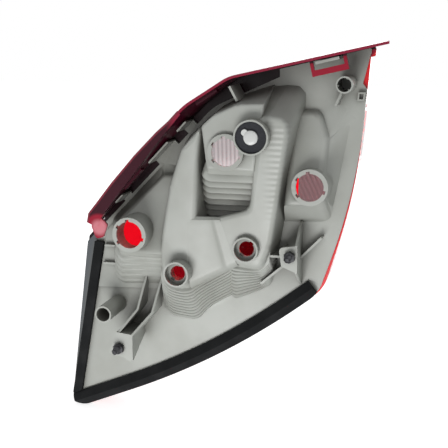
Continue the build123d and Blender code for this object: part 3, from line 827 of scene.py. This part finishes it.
def window_clear(name, colour, pitch, turn):
    """Clear tinted plastic with straight flutes, turned in the window's plane, its tint painted lighter and
    darker along the flutes as light and shade.
    """
    material, tree, shader, place = new_material(name, Roughness=0.08, Specular_IOR_Level=0.3, **CLEAR)
    turned = tree.nodes.new("ShaderNodeVectorRotate")
    turned.rotation_type = "Y_AXIS"
    turned.inputs["Angle"].default_value = turn
    tree.links.new(place, turned.inputs["Vector"])
    flutes = bands(tree, turned.outputs["Vector"], "X", pitch)
    # Painted light and shade: the tint is lighter and darker in bands along the flutes
    two_tones(tree, shader, flutes, toned(colour, share=0.8), toned(colour, share=1.15))
    add_bump(tree, shader, flutes, strength=0.5, distance=0.9 * MM)
    return material


def foam(name, colour, cell_scale, bump):
    """Black foam with open cells."""
    material, tree, shader, place = new_material(name, Specular_IOR_Level=0.2)
    texture = grained(tree, place, mottle=40.0, grain=cell_scale)
    two_tones(tree, shader, texture["Grain"], colour, toned(colour, share=1.6))
    uneven_gloss(tree, shader, texture["Mottle"], low=0.7, high=0.9)
    add_bump(tree, shader, texture["Grain"], strength=bump, distance=0.8 * MM)
    return material


def stud_steel(colour):
    """Blackened steel of the studs, lighter where it is worn."""
    material, tree, shader, place = new_material("stud_steel", Metallic=1.0)
    texture = grained(tree, place, mottle=220.0, grain=2200.0)
    two_tones(tree, shader, texture["Mottle"], colour, toned(colour, share=2.4))
    uneven_gloss(tree, shader, texture["Grain"], low=0.28, high=0.45)
    return material


# CAD nodes and new pieces

def smoothing_group():
    """Geometry nodes that weld a node's loose triangles and shade it smooth up to an angle."""
    group = bpy.data.node_groups.new("Weld and smooth", "GeometryNodeTree")
    for direction in ("INPUT", "OUTPUT"):
        group.interface.new_socket("Geometry", in_out=direction, socket_type="NodeSocketGeometry")
    given = group.nodes.new("NodeGroupInput")
    made = group.nodes.new("NodeGroupOutput")
    weld = group.nodes.new("GeometryNodeMergeByDistance")
    weld.inputs["Distance"].default_value = WELD
    bare = group.nodes.new("GeometryNodeRemoveAttribute")
    bare.inputs["Name"].default_value = "custom_normal"
    faces = group.nodes.new("GeometryNodeSetShadeSmooth")
    edges = group.nodes.new("GeometryNodeSetShadeSmooth")
    edges.domain = "EDGE"
    chain = [given, weld, bare, faces, edges, made]
    for before, after in zip(chain, chain[1:]):
        group.links.new(before.outputs["Geometry"], after.inputs["Geometry"])
    edge_angle = group.nodes.new("GeometryNodeInputMeshEdgeAngle")
    gentle = group.nodes.new("FunctionNodeCompare")
    gentle.operation = "LESS_EQUAL"
    gentle.inputs["B"].default_value = SMOOTH_UP_TO
    group.links.new(edge_angle.outputs["Unsigned Angle"], gentle.inputs["A"])
    group.links.new(gentle.outputs["Result"], edges.inputs["Shade Smooth"])
    return group


def dress_node(name, *materials):
    """Gives a CAD node its materials and its smoothing."""
    node = frame["nodes"][name]
    node.data.materials.clear()
    for material in materials:
        node.data.materials.append(material)
    smooth = node.modifiers.new("Weld and smooth", "NODES")
    smooth.node_group = bpy.data.node_groups.get("Weld and smooth") or smoothing_group()
    flats = node.modifiers.new("Flat faces", "WEIGHTED_NORMAL")
    flats.keep_sharp = True
    return node


def add_piece(name, shape, slot, *materials):
    """Object of a finished bmesh that rides on the lamp."""
    mesh = bpy.data.meshes.new(name)
    bmesh.ops.recalc_face_normals(shape, faces=shape.faces)
    shape.to_mesh(mesh)
    shape.free()
    mesh.shade_smooth()
    mesh.set_sharp_from_angle(angle=SHARP)
    for material in materials:
        mesh.materials.append(material)
    piece = bpy.data.objects.new(name, mesh)
    bpy.context.scene.collection.objects.link(piece)
    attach(piece, "root")
    return piece


# Shapes of the new pieces

def at(x, z, height):
    """Point of the lamp from its place on the flange and its height over it, all in millimetres."""
    return (Vector((x, -height, z)) + Vector(FLANGE_MIDDLE)) * MM


def mount_matrix(mount):
    """Matrix that takes +Z at the origin to the mount's axis at its place."""
    turn = Vector((0, 0, 1)).rotation_difference(Vector(mount["axis"])).to_matrix().to_4x4()
    return Matrix.Translation(mount["pos_m"]) @ turn


def drawn_line(shape, places):
    """Vertices at places, and the edges between them."""
    line = [shape.verts.new(place) for place in places]
    return line, [shape.edges.new(pair) for pair in zip(line, line[1:])]


def extruded_line(shape, line, places):
    """Line of vertices extruded by its edges to new places; the new line and its edges."""
    edges = [shape.edges.get(pair) for pair in zip(line, line[1:])]
    made = set(bmesh.ops.extrude_edge_only(shape, edges=edges)["geom"])
    new = [next(e.other_vert(v) for e in v.link_edges if e.other_vert(v) in made) for v in line]
    for vertex, place in zip(new, places):
        vertex.co = place
    return new, [shape.edges.get(pair) for pair in zip(new, new[1:])]


def extruded_faces(shape, faces, move):
    """Faces extruded by a vector; the moved vertices."""
    made = bmesh.ops.extrude_face_region(shape, geom=faces)["geom"]
    moved = [part for part in made if isinstance(part, bmesh.types.BMVert)]
    bmesh.ops.translate(shape, verts=moved, vec=move)
    return moved


def thicken(shape, inwards):
    """Closes an open sheet to a skin, extruded inwards."""
    extruded_faces(shape, shape.faces[:], inwards)


def round_edges(shape, edges, reach, segments=2):
    """Rounds edges with a bevel."""
    bmesh.ops.bevel(
        shape, geom=edges, offset=reach, affect="EDGES", segments=segments, profile=0.5, material=-1,
    )


def close_seams(shape):
    """Merges what meets and fills the holes that are left."""
    bmesh.ops.remove_doubles(shape, verts=shape.verts, dist=EMBED)
    bmesh.ops.holes_fill(shape, edges=shape.edges)


def crush_ribs(mount, sizes):
    """Bmesh of the small ribs along the wall of a bore, with rounded long edges."""
    radius = mount["dims"]["r_mm"] * MM
    spot = Matrix.Translation((radius - sizes.height / 2 + EMBED, 0, -sizes.sunk - sizes.length / 2))
    size = Matrix.Diagonal((sizes.height + EMBED, sizes.width, sizes.length, 1))
    shape = bmesh.new()
    for k in range(sizes.count):
        spin = Matrix.Rotation(sizes.turn + k * math.tau / sizes.count, 4, "Z")
        bmesh.ops.create_cube(shape, size=1, matrix=mount_matrix(mount) @ spin @ spot @ size)
    along_bore = [e for e in shape.edges if e.calc_length() > sizes.length / 2]
    round_edges(shape, along_bore, sizes.height / 4)
    return shape


def vent_cap():
    """Bmesh of the shallow cap on the vent's post, spun from half its section."""
    shape = bmesh.new()
    line, edges = drawn_line(shape, [(reach * MM, -rise * MM, 0) for reach, rise in VENT_CAP])
    bmesh.ops.spin(
        shape, geom=line + edges, cent=(0, 0, 0), axis=(0, 1, 0), angle=math.tau, steps=VENT_CAP_STEPS,
        use_merge=True,
    )
    close_seams(shape)
    mouth = (FLANGE_MIDDLE[1] - VENT_MOUTH) * MM
    bmesh.ops.translate(shape, verts=shape.verts, vec=(VENT_POST[0], mouth, VENT_POST[2]))
    return shape


def rounded_line(points, rounds):
    """Points of an open line with its corners rounded."""
    line = [points[0]]
    for before, corner, after, reach in zip(points, points[1:], points[2:], rounds[1:]):
        if reach == 0:
            line.append(corner)
            continue
        start = corner + (before - corner).normalized() * reach
        end = corner + (after - corner).normalized() * reach
        pulls = [side.lerp(corner, CORNER_PULL) for side in (start, end)]
        line += interpolate_bezier(start, *pulls, end, CORNER_POINTS)
    return [*line, points[-1]]


def slope_normals(foot, rim):
    """Normals of a slope along its foot line, towards the vehicle."""
    normals = []
    for k in range(len(foot)):
        tangent = foot[min(k + 1, len(foot) - 1)] - foot[max(k - 1, 0)]
        normal = tangent.cross(rim[k] - foot[k]).normalized()
        normals.append(-normal if normal.y > 0 else normal)
    return normals


def ribbed_skin(end, sizes):
    """Bmesh of the ribs over a bowl's sloping end, extruded from its foot line rib by rib."""
    rounds = [reach * MM for reach in end.rounds]
    foot = rounded_line([at(x, z, 0) for x, z in end.foot], rounds)
    rim = rounded_line([at(*point) for point in end.rim], rounds)
    normals = slope_normals(foot, rim)
    cover = end.cover * MM
    crest = (end.cover + end.depth) * MM

    def places(share, rise):
        """Line across the slope at a share of its length, which dips under the slope at its two ends."""
        line = [low.lerp(high, share) + normal * rise for low, high, normal in zip(foot, rim, normals)]
        for side in (0, -1):
            line[side] -= normals[side] * (rise + cover)
        return line

    shape = bmesh.new()
    line = drawn_line(shape, places(-RIB_RUN_OUT, -cover))[0]
    pitch = RIB_TOP / end.ribs
    crests = []
    for k in range(end.ribs):
        line = extruded_line(shape, line, places(k * pitch, cover))[0]
        line, edges = extruded_line(shape, line, places((k + 1 - end.ledge) * pitch, crest))
        crests += edges
    for share, rise in ((RIB_TOP, cover), (RIB_TOP + RIB_RUN_OUT, -cover)):
        line = extruded_line(shape, line, places(share, rise))[0]
    round_edges(shape, crests, sizes.edge)
    thicken(shape, (0, sizes.skin, SKIN_SLANT * sizes.skin))
    return shape


def quarter_round(share):
    """Height of a quarter circle at a share of its radius, 0 past its end."""
    return math.sqrt(1 - min(1.0, share) ** 2)


def saddle_height(across, down, z):
    """Height of the saddle over the flange, in millimetres, at shares across it and down it."""
    left, right = [height + rise * z for height, rise in (LEFT_FACE, RIGHT_FACE)]
    height = right + (left - right) * quarter_round(across / SADDLE_CREASE)
    brow_length, brow_drop = SADDLE_BROW
    height -= brow_drop * (1 - quarter_round(max(0.0, 1 - down / brow_length)))
    past_end = max(0.0, (down - SADDLE_END) / (1 - SADDLE_END))
    return height + (SADDLE_FOOT - height) * (1 - quarter_round(past_end))


def saddle_skin(sizes):
    """Bmesh of the smooth saddle between the trunks: a grid bent from the left face to the right one."""
    shape = bmesh.new()
    cells, half = sizes.saddle_cells, 0.5
    bmesh.ops.create_grid(shape, x_segments=cells, y_segments=cells, size=half)
    upper = [v for v in shape.verts if v.co.y > half - half / cells]
    upper.sort(key=lambda v: v.co.x)
    top, low = [[Vector(corner) for corner in end] for end in (SADDLE_TOP, SADDLE_LOW)]
    for vertex in shape.verts:
        across, down = vertex.co.x + half, half - vertex.co.y
        x, z = top[0].lerp(top[1], across).lerp(low[0].lerp(low[1], across), down)
        vertex.co = at(x, z, saddle_height(across, down, z))
    drop = Vector((0, SADDLE_DROP * MM, SADDLE_LEAN * SADDLE_DROP * MM))
    extruded_line(shape, upper, [vertex.co + drop for vertex in upper])
    thicken(shape, (0, sizes.skin, -SKIN_SLANT * sizes.skin))
    return shape


def skirt_flare(sizes):
    """Bmesh of the flare that widens the skirt's edge at the upper left, its bead, a band along the edge
    painted with light, in a second material.
    """
    root, edge, bead, brim, lip = [], [], [], [], []
    for station in FLARE_STATIONS:
        free, solid, foot = [Vector(place) for place in station]
        inwards = (solid - free).normalized()
        root.append(at(*(foot + inwards), FLARE_ROOT))
        edge.append(at(*free, FLARE_HEIGHT))
        bead.append(at(*(free + inwards * FLARE_BEAD), FLARE_HEIGHT))
        brim.append(at(*(solid + inwards * FLARE_BRIM), FLARE_HEIGHT))
        lip.append(at(*(solid + inwards * FLARE_BRIM / 2), FLARE_HEIGHT - FLARE_BRIM))
    shape = bmesh.new()
    line = drawn_line(shape, root)[0]
    line, edge_line = extruded_line(shape, line, edge)
    line, bead_line = extruded_line(shape, line, bead)
    for places in (brim, lip, root):
        line = extruded_line(shape, line, places)[0]
    beside_edge = {face for part in edge_line for face in part.link_faces}
    beside_bead = {face for part in bead_line for face in part.link_faces}
    for face in beside_edge & beside_bead:
        face.material_index = BEAD_SLOT
    close_seams(shape)
    round_edges(shape, [part for part in edge_line if part.is_valid], sizes.flare_round, segments=3)
    return shape


def add_collar(shape, sizes):
    """Hexagon collar of a stud, under the start of its thread, with rounded upper edges."""
    bmesh.ops.create_circle(shape, cap_ends=True, segments=6, radius=sizes.across_flats / math.sqrt(3))
    extruded_faces(shape, shape.faces[:], (0, 0, sizes.collar_height))
    upper = [e for e in shape.edges if all(v.co.z > sizes.collar_height / 2 for v in e.verts)]
    round_edges(shape, upper, COLLAR_ROUND)
    bmesh.ops.translate(shape, verts=shape.verts, vec=(0, 0, -sizes.collar_height))


def add_core(shape, radius, length, tip):
    """Core of a stud's shank, with a tip that narrows past its length."""
    core = bmesh.ops.create_cone(
        shape, cap_ends=True, segments=CORE_SIDES, radius1=radius, radius2=radius, depth=length,
        matrix=Matrix.Translation((0, 0, length / 2)),
    )
    end = [v for v in core["verts"] if v.co.z > length / 2]
    cap = [f for f in shape.faces if all(v in end for v in f.verts)]
    nose = extruded_faces(shape, cap, (0, 0, tip))
    bmesh.ops.scale(shape, verts=nose, vec=(TIP_WIDTH, TIP_WIDTH, 1))
    bmesh.ops.delete(shape, geom=[f for f in cap if f.is_valid], context="FACES_ONLY")


def add_thread(shape, core, radius, length, pitch):
    """Ridge of a thread, spun up a core of a length."""
    foot = core * THREAD_FOOT
    low, high = [share * pitch for share in THREAD_CREST]
    ridge, edges = drawn_line(shape, [(foot, 0, 0), (radius, 0, low), (radius, 0, high), (foot, 0, pitch)])
    turns = int(length / pitch) - 1
    bmesh.ops.spin(
        shape, geom=ridge + edges, cent=(0, 0, 0), axis=(0, 0, 1), dvec=(0, 0, pitch / THREAD_STEPS),
        angle=turns * math.tau, steps=turns * THREAD_STEPS,
    )


def threaded_stud(mount, sizes):
    """Bmesh of one stud: hexagon collar, threaded shank and a narrowed tip, along the mount's axis."""
    radius = mount["dims"]["r_mm"] * MM
    core = radius - sizes.thread_depth
    tip = radius * TIP_LENGTH
    length = mount["dims"]["length_mm"] * MM - tip
    shape = bmesh.new()
    add_collar(shape, sizes)
    add_core(shape, core, length, tip)
    add_thread(shape, core, radius, length, sizes.pitch)
    bmesh.ops.transform(shape, verts=shape.verts, matrix=mount_matrix(mount))
    return shape


# Stage

def seen_plainly(tree):
    """1 on camera, glass and mirror rays, 0 on the light that falls on the lamp."""
    path = tree.nodes.new("ShaderNodeLightPath")
    seen = path.outputs["Is Camera Ray"]
    for ray in ("Is Transmission Ray", "Is Glossy Ray"):
        seen = combine(tree, "MAXIMUM", seen, path.outputs[ray])
    return seen


def floor_material(colour, glow):
    """Pale matt floor that adds a plain white for camera, mirror and glass rays."""
    material, tree, shader, place = new_material(
        "studio_floor", Roughness=0.9, Specular_IOR_Level=0.1, Emission_Color=WHITE,
    )
    two_tones(tree, shader, noise(tree, place, scale=3.0), toned(colour, share=0.985), colour)
    tree.links.new(product(tree, seen_plainly(tree), glow), shader.inputs["Emission Strength"])
    return material


def studio_world(colour, strength):
    """World: plain soft light on the lamp, pure white for camera, mirror and glass rays."""
    world = bpy.data.worlds.new("studio_world")
    world.use_nodes = True
    tree = world.node_tree
    lit = tree.nodes["Background"]
    lit.inputs["Color"].default_value = (*colour, 1.0)
    lit.inputs["Strength"].default_value = strength
    seen = tree.nodes.new("ShaderNodeBackground")
    seen.inputs["Color"].default_value = WHITE
    mix = tree.nodes.new("ShaderNodeMixShader")
    tree.links.new(seen_plainly(tree), mix.inputs["Fac"])
    tree.links.new(lit.outputs["Background"], mix.inputs[1])
    tree.links.new(seen.outputs["Background"], mix.inputs[2])
    tree.links.new(mix.outputs["Shader"], tree.nodes["World Output"].inputs["Surface"])
    return world


def add_floor(material):
    """Wide floor just under the lamp, which throws neither shade nor light on it."""
    shape = bmesh.new()
    bmesh.ops.create_grid(shape, x_segments=1, y_segments=1, size=FLOOR_HALF)
    bmesh.ops.translate(shape, verts=shape.verts, vec=(0, 0, CAD_BOX[0].z - FLOOR_GAP))
    mesh = bpy.data.meshes.new("studio_floor")
    shape.to_mesh(mesh)
    shape.free()
    mesh.materials.append(material)
    floor = bpy.data.objects.new("studio_floor", mesh)
    bpy.context.scene.collection.objects.link(floor)
    floor.visible_shadow = False
    floor.visible_diffuse = False


def add_light(name, light, aim):
    """Soft light aimed at a point."""
    data = bpy.data.lights.new(name, "AREA")
    data.shape = "RECTANGLE"
    data.size, data.size_y = light.size
    data.energy = light.power
    lamp = bpy.data.objects.new(name, data)
    lamp.location = aim + Vector(light.place)
    lamp.rotation_euler = (aim - lamp.location).to_track_quat("-Z", "Y").to_euler()
    bpy.context.scene.collection.objects.link(lamp)


def add_camera(stage, aim):
    """Camera at the photograph's viewing angle."""
    turn, rise = stage.azimuth, stage.elevation
    level = math.cos(rise)
    back = Vector((math.sin(turn) * level, -math.cos(turn) * level, math.sin(rise)))
    data = bpy.data.cameras.new("photo_camera")
    data.lens = stage.lens
    data.sensor_width = SENSOR
    camera = bpy.data.objects.new("photo_camera", data)
    camera.location = aim + back * stage.distance
    camera.rotation_euler = (-back).to_track_quat("-Z", "Y").to_euler()
    bpy.context.scene.collection.objects.link(camera)
    bpy.context.scene.camera = camera


# Operators

class LAMP_OT_dress_housing(bpy.types.Operator):
    """Gives the housing its moulded plastic, with painted shade in its corners and a painted reflection
    strip, and its mirror coat
    """

    bl_idname = "lamp.dress_housing"
    bl_label = "Dress the housing"

    def execute(self, context):
        dress_node("housing", housing_plastic(context.scene.lamp_housing))
        return {"FINISHED"}


class LAMP_OT_add_sleeve_ribs(bpy.types.Operator):
    """Adds the crush ribs in the housing's upper sleeve"""

    bl_idname = "lamp.add_sleeve_ribs"
    bl_label = "Add the sleeve's ribs"

    def execute(self, context):
        shape = crush_ribs(MOUNTS["upper_sleeve"], context.scene.lamp_sleeve)
        add_piece("sleeve_ribs", shape, "housing", bpy.data.materials["housing_plastic"])
        return {"FINISHED"}


class LAMP_OT_add_bowl_ribs(bpy.types.Operator):
    """Adds the ribbed skins over the sloping ends of the housing's bowls"""

    bl_idname = "lamp.add_bowl_ribs"
    bl_label = "Add the bowls' ribs"

    def execute(self, context):
        for name, end in RIBBED_ENDS.items():
            shape = ribbed_skin(end, context.scene.lamp_ribs)
            add_piece(name, shape, "housing", bpy.data.materials["housing_plastic"])
        return {"FINISHED"}


class LAMP_OT_add_trunk_saddle(bpy.types.Operator):
    """Adds the smooth saddle between the housing's two trunks"""

    bl_idname = "lamp.add_trunk_saddle"
    bl_label = "Add the trunks' saddle"

    def execute(self, context):
        shape = saddle_skin(context.scene.lamp_ribs)
        add_piece("trunk_saddle", shape, "housing", bpy.data.materials["housing_plastic"])
        return {"FINISHED"}


class LAMP_OT_add_vent_cap(bpy.types.Operator):
    """Adds the glossy cap on the vent's post"""

    bl_idname = "lamp.add_vent_cap"
    bl_label = "Add the vent's cap"

    def execute(self, context):
        gloss = glossy_plastic("vent_cap_gloss", context.scene.lamp_housing.vent_post)
        add_piece("vent_cap", vent_cap(), "housing", gloss)
        return {"FINISHED"}


class LAMP_OT_dress_lens(bpy.types.Operator):
    """Gives the lens its clear red front, its dark skirt and its solid rim, whose bright red is painted
    light
    """

    bl_idname = "lamp.dress_lens"
    bl_label = "Dress the lens"

    def execute(self, context):
        finish = context.scene.lamp_lens
        # The rim's bright red is painted light
        rim = glossy_plastic("lens_rim", finish.rim)
        lens = dress_node("outer_lens", lens_red(finish), lens_skirt(finish), rim)
        for face in lens.data.polygons:
            middle = face.center
            if middle.y < SKIRT_DEPTH:
                face.material_index = SKIRT_SLOT if middle.x - middle.z < SKIRT_SIDE else RIM_SLOT
        return {"FINISHED"}


class LAMP_OT_add_skirt_flare(bpy.types.Operator):
    """Adds the flare along the lens's skirt, with a bead of painted light on its edge"""

    bl_idname = "lamp.add_skirt_flare"
    bl_label = "Add the skirt's flare"

    def execute(self, context):
        finish = context.scene.lamp_lens
        # The bead's colour is painted light
        bead = glossy_plastic("flare_bead", finish.bead)
        add_piece("skirt_flare", skirt_flare(finish), "red_lens", bpy.data.materials["lens_skirt"], bead)
        return {"FINISHED"}


class LAMP_OT_dress_windows(bpy.types.Operator):
    """Gives the two windows of the lens their fluted clear plastic"""

    bl_idname = "lamp.dress_windows"
    bl_label = "Dress the windows"

    def execute(self, context):
        finish = context.scene.lamp_lens
        for name, turn in FLUTE_TURNS.items():
            clear = window_clear(f"{name}_clear", getattr(finish, name), finish.flute_pitch, turn)
            dress_node(f"{name}_window", clear)
        return {"FINISHED"}


class LAMP_OT_dress_foam(bpy.types.Operator):
    """Gives the gaskets and the vent disc their foam"""

    bl_idname = "lamp.dress_foam"
    bl_label = "Dress the foam pieces"

    def execute(self, context):
        finish = context.scene.lamp_foam
        closed = foam("gasket_foam", finish.gasket, cell_scale=900.0, bump=0.25)
        dress_node("side_gasket", closed)
        dress_node("lower_gasket", closed)
        dress_node("vent_foam", foam("vent_foam_cells", finish.vent, cell_scale=700.0, bump=0.7))
        return {"FINISHED"}


class LAMP_OT_add_studs(bpy.types.Operator):
    """Puts threaded studs in the place of the plain ones"""

    bl_idname = "lamp.add_studs"
    bl_label = "Add the threaded studs"

    def execute(self, context):
        sizes = context.scene.lamp_studs
        steel = stud_steel(sizes.steel)
        for name in ("inner_stud", "lower_stud"):
            piece = add_piece(f"{name}_threaded", threaded_stud(MOUNTS[name], sizes), "stud", steel)
            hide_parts(name)
        return {"FINISHED"}


class LAMP_OT_build_stage(bpy.types.Operator):
    """Makes the floor, the lights, the world and the camera"""

    bl_idname = "lamp.build_stage"
    bl_label = "Build the stage"

    def execute(self, context):
        stage = context.scene.lamp_stage
        aim = Vector(stage.aim)
        add_floor(floor_material(stage.floor, stage.floor_glow))
        for name, light in STUDIO_LIGHTS.items():
            add_light(name, light, aim)
        context.scene.world = studio_world(stage.sky, stage.sky_light)
        context.scene.view_settings.view_transform = "Standard"
        add_camera(stage, aim)
        return {"FINISHED"}


OPERATORS = [
    LAMP_OT_dress_housing,
    LAMP_OT_add_sleeve_ribs,
    LAMP_OT_add_bowl_ribs,
    LAMP_OT_add_trunk_saddle,
    LAMP_OT_add_vent_cap,
    LAMP_OT_dress_lens,
    LAMP_OT_add_skirt_flare,
    LAMP_OT_dress_windows,
    LAMP_OT_dress_foam,
    LAMP_OT_add_studs,
    LAMP_OT_build_stage,
]


class LAMP_PT_sidebar(bpy.types.Panel):
    """Steps that dress the lamp, and the values that they use"""

    bl_idname = "LAMP_PT_sidebar"
    bl_label = "Tail light cluster"
    bl_space_type = "VIEW_3D"
    bl_region_type = "UI"
    bl_category = "Tail light"

    def draw(self, context):
        for operator in OPERATORS:
            self.layout.operator(operator.bl_idname)
        for name, group in GROUPS.items():
            box = self.layout.box()
            box.label(text=group.__doc__)
            for value in group.__annotations__:
                box.prop(getattr(context.scene, name), value)


CLASSES = [*GROUPS.values(), *OPERATORS, LAMP_PT_sidebar]


def register():
    """Registers the classes and gives each scene its values."""
    for cls in CLASSES:
        bpy.utils.register_class(cls)
    for name, group in GROUPS.items():
        setattr(bpy.types.Scene, name, bpy.props.PointerProperty(type=group))


def unregister():
    """Takes back what register did."""
    for name in GROUPS:
        delattr(bpy.types.Scene, name)
    for cls in reversed(CLASSES):
        bpy.utils.unregister_class(cls)


def main():
    register()
    bpy.ops.lamp.dress_housing()
    bpy.ops.lamp.add_sleeve_ribs()
    bpy.ops.lamp.add_bowl_ribs()
    bpy.ops.lamp.add_trunk_saddle()
    bpy.ops.lamp.add_vent_cap()
    bpy.ops.lamp.dress_lens()
    bpy.ops.lamp.add_skirt_flare()
    bpy.ops.lamp.dress_windows()
    bpy.ops.lamp.dress_foam()
    bpy.ops.lamp.add_studs()
    bpy.ops.lamp.build_stage()


if __name__ == "__main__":
    main()
